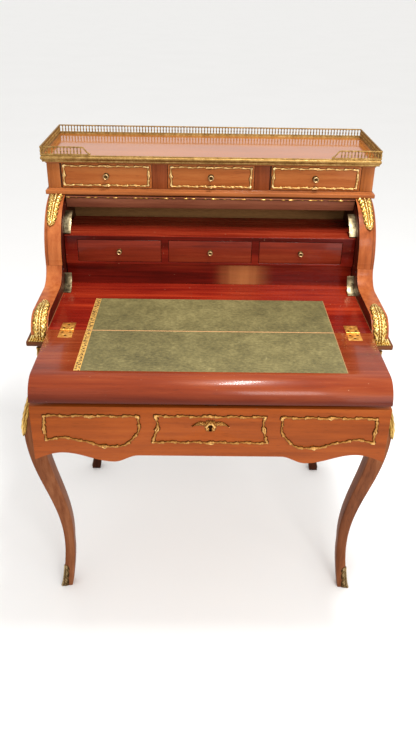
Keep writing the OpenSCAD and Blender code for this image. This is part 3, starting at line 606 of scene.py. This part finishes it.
hinge_brass = sheet_brass("hinge_brass", (paint(170, 112, 40), paint(226, 164, 76), paint(246, 200, 116)))
knob_brass = cast_brass("knob_brass", (paint(52, 32, 16), paint(112, 84, 48), paint(172, 140, 96),
                                       paint(222, 200, 156)), 0.42)
dark_screw = sheet_brass("screw_brass", (paint(70, 44, 18), paint(110, 74, 32), paint(150, 108, 56)), 0.35)
aged_brass = sheet_brass("aged_brass", (paint(100, 72, 36), paint(152, 118, 66), paint(196, 164, 108)), 0.38,
                         420)
track_brass = sheet_brass("track_brass", (paint(44, 36, 26), paint(112, 98, 72), paint(206, 190, 150)), 0.26,
                          70)
steel = sheet_brass("lock_steel", (paint(60, 58, 54), paint(96, 94, 90), paint(130, 128, 122)), 0.4)

for name in ("bed_hinge_leaves", "flap_hinge_leaves", "hinge_pins"):
    eased(name, hinge_brass, 0.0002, 2)
SCREW_R, SLOT_W, SLOT_D, SCREW_SIDES = 0.0027, 0.0008, 0.0007, 20
screw_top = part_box("bed_hinge_screws")[1].z


def slotted_head(turn):
    """A screw's head: two half discs, with the slot between them, on a whole disc."""
    bm = bmesh.new()
    bmesh.ops.create_circle(bm, cap_ends=True, radius=SCREW_R, segments=SCREW_SIDES)
    bmesh.ops.bisect_plane(bm, geom=bm.verts[:] + bm.edges[:] + bm.faces[:], dist=1e-7,
                           plane_co=(0, SLOT_W / 2, 0), plane_no=(0, 1, 0), clear_inner=True)
    raised = bmesh.ops.extrude_face_region(bm, geom=bm.faces[:])["geom"]
    raised = [g for g in raised if isinstance(g, bmesh.types.BMVert)]
    bmesh.ops.translate(bm, vec=(0, 0, SLOT_D), verts=raised)
    bmesh.ops.recalc_face_normals(bm, faces=bm.faces)
    other = bmesh.ops.duplicate(bm, geom=bm.verts[:] + bm.edges[:] + bm.faces[:])["geom"]
    other = [g for g in other if isinstance(g, bmesh.types.BMVert)]
    bmesh.ops.rotate(bm, cent=(0, 0, 0), matrix=Matrix.Rotation(math.pi, 3, "Z"), verts=other)
    bmesh.ops.create_cone(bm, cap_ends=True, segments=SCREW_SIDES, radius1=SCREW_R, radius2=SCREW_R,
                          depth=0.001, matrix=Matrix.Translation((0, 0, -0.0005)))
    bmesh.ops.rotate(bm, cent=(0, 0, 0), matrix=Matrix.Rotation(turn, 3, "Z"), verts=bm.verts)
    return bm


def stamp(bm, shape, spot):
    """Adds a copy of a mesh at a spot."""
    before = len(bm.verts)
    bm.from_mesh(shape)
    bm.verts.ensure_lookup_table()
    bmesh.ops.translate(bm, vec=spot, verts=bm.verts[before:])


def slotted_screws(node, turn):
    """The heads of a hinge's screws, each with its slot at its own angle."""
    spots = {}
    for vert in frame["nodes"][node].data.vertices:
        if vert.co.z > screw_top - 0.0001:
            spots.setdefault((round(vert.co.x / 0.009), round(vert.co.y / 0.009)), []).append(vert.co)
    heads = bmesh.new()
    for number, group in enumerate(spots.values()):
        centre = sum(group, Vector()) / len(group)
        head = slotted_head(turn + number * 1.1)
        mesh = bpy.data.meshes.new("one_screw")
        head.to_mesh(mesh)
        head.free()
        stamp(heads, mesh, (centre.x, centre.y, screw_top - SLOT_D))
        bpy.data.meshes.remove(mesh)
    made = piece(node + "_slotted", heads, body_of_node[node], dark_screw)
    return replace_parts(made, node)


slotted_screws("bed_hinge_screws", 0.4)
slotted_screws("flap_hinge_screws", 1.3)
eased("brass_tracks", track_brass, 0.0003, 2)


# ---- Interior ----
# Three small drawers stand in a case of deep red mahogany, over a recessed panel. The tops of
# the drawer sides and their insides are plain pale wood.
inner_tones = (paint(52, 6, 3), paint(94, 17, 8), paint(130, 38, 18))
inner_front_tones = (paint(74, 18, 9), paint(112, 36, 19), paint(136, 58, 32))
# Lighter tones for the top faces of the inner case: painted light.
lit_shelf_tones = (paint(62, 9, 5), paint(110, 28, 14), paint(148, 58, 32))
lining_tones = (paint(138, 98, 58), paint(170, 128, 82), paint(190, 152, 108))
polish = {"gloss": 0.22, "coat": 0.12}
inner_wood = polished_wood("interior_mahogany", inner_tones, "X", shift=8.8, specks=0.5, **polish)
inner_front = polished_wood("interior_fronts", inner_front_tones, "X", shift=2.8, **polish)
lit_shelf_wood = polished_wood("shelf_mahogany_lit", lit_shelf_tones, "X", shift=6.8, specks=0.8, **polish)
recess_wood = polished_wood("recess_mahogany", inner_tones, "X", shift=8.8, specks=0.5, **polish)
lining = polished_wood("lining_wood", lining_tones, "Y", gloss=0.55, coat=0.0)

# A pale streaky patch right of the middle of the recess panel: a painted reflection of glare.
GLARE_X, GLARE_W = 0.08, 0.08
across = recess_wood.axes(recess_wood.place())[0]
glare_streaks = recess_wood.noise(recess_wood.place(scale=(1, 1, 0.05)), 60, 3, 0.6)
painted_glare = (1 - abs(across - GLARE_X).clear(0.0, GLARE_W)) * (glare_streaks * 0.7 + 0.25)
recess_wood.recolour(painted_glare, paint(176, 112, 64))
eased("recess_panel", recess_wood, 0.0008, smooth=FLAT)
# The top faces of the inner case take a lighter copy of the interior wood: painted light.
shelf_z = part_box("inner_case")[1].z - 0.006
eased("inner_case", inner_wood, 0.0008, 2, [lit_shelf_wood],
      lambda centre, way: centre.z > shelf_z, smooth=FLAT)

# The knob's outline, as shares of its radius, from the rose at the drawer to the hollow face.
KNOB = [(0.0, 0.0), (1.18, 0.0), (1.16, 0.14), (0.95, 0.24), (0.5, 0.3), (0.38, 0.6), (0.45, 1.1),
        (0.8, 1.35), (1.1, 1.55), (1.16, 1.75), (1.02, 1.94), (0.84, 1.98), (0.68, 1.84), (0.5, 1.66),
        (0.24, 1.64), (0.16, 1.78), (0.0, 1.84)]
KNOB_L = 1.98


def turned(outline, axis, steps):
    """A shape turned on a lathe: points spun all the way round an axis through the origin."""
    bm = bmesh.new()
    rim = [bm.verts.new(spot) for spot in outline]
    edges = [bm.edges.new(pair) for pair in zip(rim, rim[1:])]
    bmesh.ops.spin(bm, geom=rim + edges, cent=(0, 0, 0), axis=axis, angle=2 * math.pi, steps=steps,
                   use_merge=True)
    bmesh.ops.remove_doubles(bm, verts=bm.verts, dist=0.000005)
    bmesh.ops.recalc_face_normals(bm, faces=bm.faces)
    return bm


def turned_knob(name, node, body, radius):
    """A brass knob turned on a lathe, with a rose at its foot and a hollow, dirty face."""
    low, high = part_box(node)
    length = (high.y - low.y) / KNOB_L
    bm = turned([(r * radius, -d * length, 0) for r, d in KNOB], (0, 1, 0), 28)
    crest = bm.verts.layers.float.new("crest")
    for vert in bm.verts:
        away = math.hypot(vert.co.x, vert.co.z) / radius
        in_face = vert.co.y < -1.2 * length
        vert[crest] = 0.6 if in_face and away > 0.6 else 0.4 if in_face and away < 0.12 else 0.1
    bmesh.ops.translate(bm, vec=((low.x + high.x) / 2, high.y, (low.z + high.z) / 2), verts=bm.verts)
    made = piece(name, bm, body, knob_brass, 60)
    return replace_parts(made, node)


for side in ("left", "middle", "right"):
    drawer = "inner_" + side + "_drawer"
    face_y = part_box(drawer)[0].y + 0.0115
    eased(drawer, inner_front, 0.0008, 2, [shadow_wood, lining],
          lambda centre, way: 2 if centre.y > face_y else int(way.y > -0.95))
    turned_knob("inner_" + side + "_turned_knob", "inner_" + side + "_knob", "inner_" + side, 0.005)


# ---- Cylinder fall ----
# The fall is a curved shell, lined inside with olive canvas, that ends in a thick mahogany
# rail. A thin gilt bead is pinned along the rail's edge, and has worn through in places.
fall_wood = polished_wood("fall_mahogany", (paint(62, 28, 18), paint(98, 51, 35), paint(126, 75, 53)), "X",
                          shift=11.0)
canvas = Finish("olive_canvas", {"Roughness": 0.85, "Specular IOR Level": 0.2})
threads = canvas.noise(canvas.place(scale=(0.2, 1, 1)), 300, 4, 0.6)
canvas.feed("Base Color", canvas.blend(threads, paint(126, 84, 46), paint(190, 138, 84)))
lining_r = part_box("cylinder_shell")[1].z - roll_axis.z - 0.006
eased("cylinder_shell", fall_wood, 0.0008, 2, [canvas],
      lambda centre, way: (centre - roll_axis).yz.length < lining_r)
eased("cylinder_rail", fall_wood, 0.001)
trim_low, trim_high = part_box("cylinder_trim")


def beaded_trim(u, v):
    """A thin bead whose height swells and dies away along the rail."""
    x = (trim_high.x + 0.0004) * u
    wave = math.sin(x * 190) * math.sin(x * 83 + 1) + 0.4 * math.sin(x * 411)
    height = max(0.0, 1 - v * v) ** 0.5 * (0.62 + 0.3 * wave)
    foot = Vector((x, trim_high.y, (trim_low.z + trim_high.z) / 2 + v * 0.0013 * (1 + 0.4 * wave)))
    return foot, Vector((0, -1, 0)), 0.0018 * max(0.05, height), max(0, min(1, 0.15 + 0.55 * wave))


made = piece("gilt_bead", casting(420, 6, beaded_trim), "fall", knee_gilt, 50)
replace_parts(made, "cylinder_trim")


# ---- Upper case ----
# A shallow chest of three drawers stands on a moulded cornice. Its top is a paler board inside
# a moulding and a pierced gallery of browned brass.
cornice_tones = (paint(112, 58, 26), paint(156, 90, 46), paint(180, 114, 68))
divider_tones = (paint(76, 32, 12), paint(118, 56, 26), paint(146, 76, 40))
back_tones = (paint(84, 40, 18), paint(122, 66, 34), paint(146, 86, 50))
cornice_wood = polished_wood("cornice_mahogany", cornice_tones, "X", shift=7.4)
divider_wood = polished_wood("divider_mahogany", divider_tones, "Z", shift=1.1)
back_wood = polished_wood("back_mahogany", back_tones, "X", gloss=0.5, coat=0.0)
eased("upper_floor", cornice_wood, 0.004, 4)
eased("upper_sides", case_wood_upright)
eased("upper_dividers", divider_wood, 0.0008)
eased("case_back", back_wood)
top_tones = (paint(120, 62, 22), paint(144, 80, 30), paint(158, 94, 40))
top_wood = polished_wood("top_mahogany", top_tones, "X", gloss=0.08, coat=0.3, shift=5.3, ribbon=0.0,
                         sheen=0.2, waves=0.03)
top_wood.surface.inputs["Coat Roughness"].default_value = 0.03
eased("upper_top", top_wood, smooth=FLAT)


def mitre(path, i, closed):
    """The way out and the way up at a corner of a path, both stretched so that mouldings meet there."""
    before, spot, after = path[i - 1], path[i], path[(i + 1) % len(path)]
    if not closed and i == 0:
        before = spot * 2 - after
    if not closed and i == len(path) - 1:
        after = spot * 2 - before
    came = (spot - before).normalized()
    goes = (after - spot).normalized()
    way = (came + goes).normalized()
    side = way.cross(Vector((0, 0, 1))).normalized()
    turn = came.xy.angle(goes.xy)
    tip = max(0, came.angle(goes) - turn)
    return side / math.cos(turn / 2), side.cross(way) / math.cos(tip / 2)


def swept(path, profile, closed):
    """A moulding: its profile, as (outwards, upwards), drawn along a path with mitred corners."""
    bm = bmesh.new()
    side, rise = mitre(path, 0, closed)
    verts = [bm.verts.new(path[0] + side * out + rise * up) for out, up in profile]
    first = [bm.edges.new(pair) for pair in zip(verts, verts[1:] + verts[:1])]
    edges = first
    for i in range(1, len(path)):
        side, rise = mitre(path, i, closed)
        new = set(bmesh.ops.extrude_edge_only(bm, edges=edges)["geom"])
        verts = [next(e.other_vert(v) for e in v.link_edges if e.other_vert(v) in new) for v in verts]
        for vert, (out, up) in zip(verts, profile):
            vert.co = path[i] + side * out + rise * up
        edges = [bm.edges.get(pair) for pair in zip(verts, verts[1:] + verts[:1])]
    if closed:
        bmesh.ops.bridge_loops(bm, edges=first + edges)
    else:
        bmesh.ops.holes_fill(bm, edges=bm.edges, sides=0)
    bmesh.ops.recalc_face_normals(bm, faces=bm.faces)
    return bm


edge_low, edge_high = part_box("edge_moulding")
tall = edge_high.z - edge_low.z
MOULDING_W = 0.009
board_z = (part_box("upper_top")[1].z - edge_low.z) / tall + 0.002
# The outline of the moulding: metres outwards, and shares of its height upwards.
BEADED_EDGE = [(-MOULDING_W, 0), (-0.0036, 0), (-0.0030, 0.10), (-0.0034, 0.22), (-0.0026, 0.26),
               (-0.0012, 0.36), (0, 0.5), (0, 0.66), (-0.0008, 0.78), (-0.0024, 0.84), (-0.0024, 0.88),
               (-0.0010, 0.93), (-0.0014, 1.0), (-0.0036, 1.0), (-0.0040, board_z), (-MOULDING_W, board_z)]
x_ends, y_ends = (edge_low.x, edge_high.x), (edge_low.y, edge_high.y)
corners = [Vector((x_ends[i], y_ends[j], edge_low.z)) for i, j in ((0, 0), (1, 0), (1, 1), (0, 1))]
moulding = swept(corners, [(out, up * tall) for out, up in BEADED_EDGE], True)
moulding.normal_update()
for face in moulding.faces:
    face.material_index = int(face.normal.z > 0.9 and face.calc_center_median().z < edge_high.z - 0.001)
made = piece("beaded_moulding", moulding, "case", aged_brass, 40)
made.data.materials.append(top_wood.material)
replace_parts(made, "edge_moulding")

gallery_low, gallery_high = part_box("gallery")
RAIL = [(-0.0015, 0.0003), (-0.0011, 0), (0.0011, 0), (0.0015, 0.0003), (0.0016, 0.0013), (0.0013, 0.0024),
        (0.0006, 0.0028), (-0.0006, 0.0028), (-0.0013, 0.0024), (-0.0016, 0.0013)]
RAIL_R, RAIL_T = 0.0017, 0.0028
RETURN_L, RETURN_FALL = 0.093, 0.020
x1, y0, y1 = gallery_high.x - RAIL_R, gallery_low.y + RAIL_R, gallery_high.y - RAIL_R
foot_z, top_z = gallery_low.z, gallery_high.z - RAIL_T
end_x = x1 - RETURN_L - RETURN_FALL
# The fall of the top rail at its ends: shares of the way along, and of the way up.
SLOPE = [(0.0, 0.0), (0.2, 0.05), (0.42, 0.25), (0.6, 0.55), (0.8, 0.9), (1.0, 1.0)]


def return_path(x_sign):
    """The end of the top rail, from the foot rail up to its full height."""
    low_z = foot_z + 0.002
    return [Vector((x_sign * (end_x + RETURN_FALL * along), y0, low_z + (top_z - low_z) * up))
            for along, up in SLOPE]


around = ((-x1, y0), (-x1, y1), (x1, y1), (x1, y0))
top_path = return_path(-1) + [Vector((x, y, top_z)) for x, y in around] + return_path(1)[::-1]
foot_path = [Vector((x, y, foot_z)) for x, y in ((-end_x, y0), *around, (end_x, y0))]
profile = [(-out, up) for out, up in RAIL]
made = piece("gallery_top_rail", swept(top_path, profile, False), "case", aged_brass, 40)
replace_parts(made, "gallery")
piece("gallery_foot_rail", swept(foot_path, profile, False), "case", aged_brass, 40)

BALUSTER = [(0.0016, 0.0), (0.0017, 0.1), (0.0010, 0.18), (0.0019, 0.36), (0.0017, 0.5), (0.0010, 0.7),
            (0.0010, 0.8), (0.0016, 0.9), (0.0016, 1.0)]
PITCH = 0.0076
post_low, post_high = foot_z + 0.0024, top_z + 0.0004
bm = turned([(r, 0, post_low + (post_high - post_low) * h) for r, h in BALUSTER], (0, 0, 1), 8)
one_baluster = bpy.data.meshes.new("one_baluster")
bm.to_mesh(one_baluster)
bm.free()
back_count = round(2 * x1 / PITCH)
side_count = round((y1 - y0) / PITCH)
return_count = int(RETURN_L / PITCH)
spots = [(-x1 + 2 * x1 * i / back_count, y1) for i in range(back_count + 1)]
for x_sign in (-1, 1):
    spots += [(x_sign * x1, y0 + (y1 - y0) * i / side_count) for i in range(side_count)]
    spots += [(x_sign * (x1 - PITCH * i), y0) for i in range(1, return_count + 1)]
bm = bmesh.new()
for x, y in spots:
    stamp(bm, one_baluster, (x, y, 0))
piece("gallery_balusters", bm, "case", aged_brass, 60)


# ---- Gilt frames ----
# Each drawer front carries a frame cast as a thin rod of overlapping leaves, with a tuft of
# leaves at the middle of each side and a curl at each corner.
FRAME_STEP = 0.0016


def pull_in(loop, by):
    """An outline drawn in by a distance, from its lowest left point, its corners mitred."""
    area = sum(a.x * b.y - b.x * a.y for a, b in zip(loop, loop[1:] + loop[:1]))
    if area < 0:
        loop = loop[::-1]
    first = min(range(len(loop)), key=lambda i: (round(loop[i].x, 5), round(loop[i].y, 5)))
    loop = loop[first:] + loop[:first]
    count, out = len(loop), []
    for i, spot in enumerate(loop):
        came = (spot - loop[i - 1]).normalized()
        goes = (loop[(i + 1) % count] - spot).normalized()
        left = Vector((-came.y, came.x)) + Vector((-goes.y, goes.x))
        left.normalize()
        out.append(spot + left * by / max(0.4, math.cos(came.angle(goes) / 2)))
    return out


def leafy_frame(outline, face_y, width, proud, period, sway):
    """A closed rod of leaves along an outline of X and Z places, on a face at Y. Period is the
    length of one leaf, and sway how far the rod wanders from its line."""
    steps = []
    for start, end in zip(outline, outline[1:] + outline[:1]):
        gap = end - start
        cuts = max(1, round(gap.length / FRAME_STEP))
        steps += [start + gap * i / cuts for i in range(cuts)]
    count = len(steps)
    sharp = [i for i in range(count)
             if (steps[i] - steps[i - 1]).angle(steps[(i + 1) % count] - steps[i]) > math.radians(40)]
    travel = [0.0]
    for i in range(count):
        travel.append(travel[-1] + (steps[(i + 1) % count] - steps[i]).length)
    places = [travel[i] for i in sharp] or [0.0]
    total = travel[-1]
    halves = [(a + ((b - a) % total or total) / 2) % total for a, b in zip(places, places[1:] + places[:1])]

    def nearest(way, marks):
        return min(min(abs(way - m), total - abs(way - m)) for m in marks)

    def place(u, v):
        index = round((u + 1) / 2 * count) % count
        way = travel[index]
        gap = steps[(index + 1) % count] - steps[index - 1]
        gap.normalize()
        side = Vector((gap.y, -gap.x))
        phase = (way / period) % 1
        tip = phase ** 1.5
        tuft = math.exp(-(nearest(way, halves) / 0.007) ** 2)
        knot = math.exp(-(nearest(way, places) / 0.0045) ** 2)
        ripple = math.sin(way * 2 * math.pi / 0.0036)
        reach = width * (0.5 + 0.65 * tip + 0.7 * tuft * (0.8 + 0.2 * ripple) + 0.35 * knot)
        drift = sway * (math.sin(way * math.pi / period) + 0.5 * math.sin(way * 611))
        spot = steps[index] + side * (v * (reach + 0.0003) + drift)
        # Near its edges the rod lies flat on the wood in the darkest tone: painted shade and dirt round the frame.
        inner = min(1, abs(v) * 1.15)
        dome = max(0.0, 1 - inner ** 2.2) ** 0.6
        vein = 1 - 0.35 * math.exp(-(v / 0.2) ** 2) * (tip + tuft)
        height = dome * vein * (0.5 + 0.35 * tip + 0.35 * tuft + 0.3 * knot + 0.08 * ripple)
        return (Vector((spot.x, face_y, spot.y)), Vector((0, -1, 0)), 0.0003 + proud * height,
                min(1, height * dome + 0.02))
    return casting(count, 8, place, True)


front_tones = (paint(100, 42, 11), paint(144, 68, 21), paint(168, 91, 36))
front_wood = polished_wood("front_mahogany", front_tones, "X", figure=8, shift=9.1, ribbon=-0.2)
upper_tones = (paint(104, 50, 18), paint(148, 80, 36), paint(170, 104, 54))
upper_wood = polished_wood("upper_mahogany", upper_tones, "X", figure=8, shift=4.1)
# A dark line is painted at the left edge of the left and the right drawers: painted shadow in the gaps.
across = upper_wood.axes(upper_wood.place())[0]
for side in ("left", "right"):
    gap_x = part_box("upper_" + side + "_drawer")[0].x
    upper_wood.recolour((1 - abs(across - gap_x).clear(0.003, 0.0042)) * 0.9, paint(20, 10, 8))
frame_gilt = cast_brass("frame_gilt", (paint(86, 50, 20), paint(150, 106, 54), paint(204, 160, 98),
                                       paint(242, 214, 156)))
brown_gilt = cast_brass("brown_gilt", (paint(54, 26, 10), paint(104, 62, 26), paint(156, 106, 50),
                                       paint(226, 180, 112)))
UPPER_FRAME_W = 0.0056
for side in ("left", "middle", "right"):
    drawer, body = "upper_" + side + "_drawer", "upper_" + side
    low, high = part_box(drawer)
    face_y = low.y + 0.0145
    eased(drawer, upper_wood, 0.0010, 2, [shadow_wood, lining],
          lambda centre, way: 2 if centre.y > face_y else int(way.y > -0.95))
    turned_knob(body + "_turned_knob", body + "_knob", body, 0.006)
    low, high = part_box(body + "_frame")
    outline = [Vector(spot) for spot in ((low.x, low.z), (high.x, low.z), (high.x, high.z), (low.x, high.z))]
    rod = leafy_frame(pull_in(outline, UPPER_FRAME_W / 2), high.y, 0.003, 0.0031, 0.021, 0.0007)
    made = piece(body + "_leafy_frame", rod, body, frame_gilt, 50)
    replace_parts(made, body + "_frame")


# ---- Frieze drawer ----
# The wide drawer under the flap has a serpentine lower edge. Two shaped frames flank a middle
# one, which holds a winged plate round the keyhole. Behind it are the lock and a plain box.
eased("frieze_front", front_wood, 0.0015, 2)
eased("frieze_box", lining, 0.0008)
eased("drawer_guides", lining, 0.0008)
for name in ("lock_case", "lock_bolt"):
    eased(name, steel, 0.0003, 2)


def front_loops(node):
    """The inner and outer outlines of a node's front faces, each as X and Z places."""
    source = bmesh.new()
    source.from_mesh(frame["nodes"][node].data)
    bmesh.ops.remove_doubles(source, verts=source.verts, dist=0.00001)
    face_y = min(v.co.y for v in source.verts)
    rim = [e for e in source.edges if all(v.co.y < face_y + 0.0001 for v in e.verts)
           and e.is_manifold and e.calc_face_angle() > 1]
    loops, left = [], set(rim)
    while left:
        edge = left.pop()
        chain = [edge.verts[0], edge.verts[1]]
        while True:
            more = next((e for e in chain[-1].link_edges if e in left), None)
            if more is None:
                break
            left.remove(more)
            chain.append(more.other_vert(chain[-1]))
        if chain[0] == chain[-1]:
            chain.pop()
        loops.append([Vector((v.co.x, v.co.z)) for v in chain])
    source.free()
    return loops


FRAME_W = 0.006
front_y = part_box("frieze_front")[0].y
spans = {(min(p.x for p in loop), max(p.x for p in loop)): loop for loop in front_loops("frieze_frames")}
outer = sorted(span for span in spans if not any(a < span[0] and span[1] < b for a, b in spans))
for side, span in zip(("left", "middle", "right"), outer):
    rod = leafy_frame(pull_in(spans[span], FRAME_W / 2), front_y, 0.0036, 0.0034, 0.024, 0.0010)
    made = piece("frieze_" + side + "_frame", rod, "frieze_drawer", brown_gilt, 50)
    if side == "left":
        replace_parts(made, "frieze_frames")

plate_low, plate_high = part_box("escutcheon")
plate_mid = (plate_low + plate_high) / 2
keyhole_z = plate_mid.z - 0.002
HOLE_R, HOLE_W, HOLE_H = 0.0038, 0.0022, 0.011


def winged_plate(u, v):
    """A shield with a wing of feathers on either side and a raised ring round the keyhole. The
    shape is worked out in millimetres from the middle."""
    x = u * (plate_high.x - plate_mid.x)
    side = abs(x) * 1000
    boss = max(0, 1 - (side / 11.5) ** 4) ** 0.5 * (0.88 + 0.12 * math.cos(side * 1.7))
    span = min(1, max(0, (side - 6) / 30))
    rise = 2.0 + 5.5 * math.sin(math.pi * span) - 4.5 * span ** 2
    wing = 5.6 * (1 - span) ** 0.5 * (0.8 + 0.2 * math.cos(side * 1.6))
    top = max(15.0 * boss, rise + wing)
    low = min(-15.5 * boss, rise - wing)
    z = plate_mid.z + ((top + low) / 2 + v * (top - low) / 2) * 0.001
    dome = max(0.0, 1 - abs(v) ** 2.6) ** 0.5
    feathers = abs(math.cos(math.pi * (v * 1.3 + side / 7)))
    reach = math.hypot(x, (z - keyhole_z + 0.003) * 0.8) * 1000
    ring = math.exp(-((reach - 7.2) / 1.3) ** 2)
    height = min(1.1, dome * (0.3 + 0.5 * feathers) + 0.5 * ring * dome)
    spot = Vector((x, front_y, z))
    # The keyhole is not cut: it lies flat in the plate in the darkest tone, a painted shadow of the hole.
    if math.hypot(x, z - keyhole_z) < HOLE_R or (abs(x) < HOLE_W and -HOLE_H < z - keyhole_z < 0):
        return spot, Vector((0, -1, 0)), 0.0, -0.8
    return spot, Vector((0, -1, 0)), 0.003 * height, min(1, height * 0.85)


plate = casting(110, 44, winged_plate)
made = piece("winged_keyhole_plate", plate, "frieze_drawer", brown_gilt, 50)
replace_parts(made, "escutcheon")
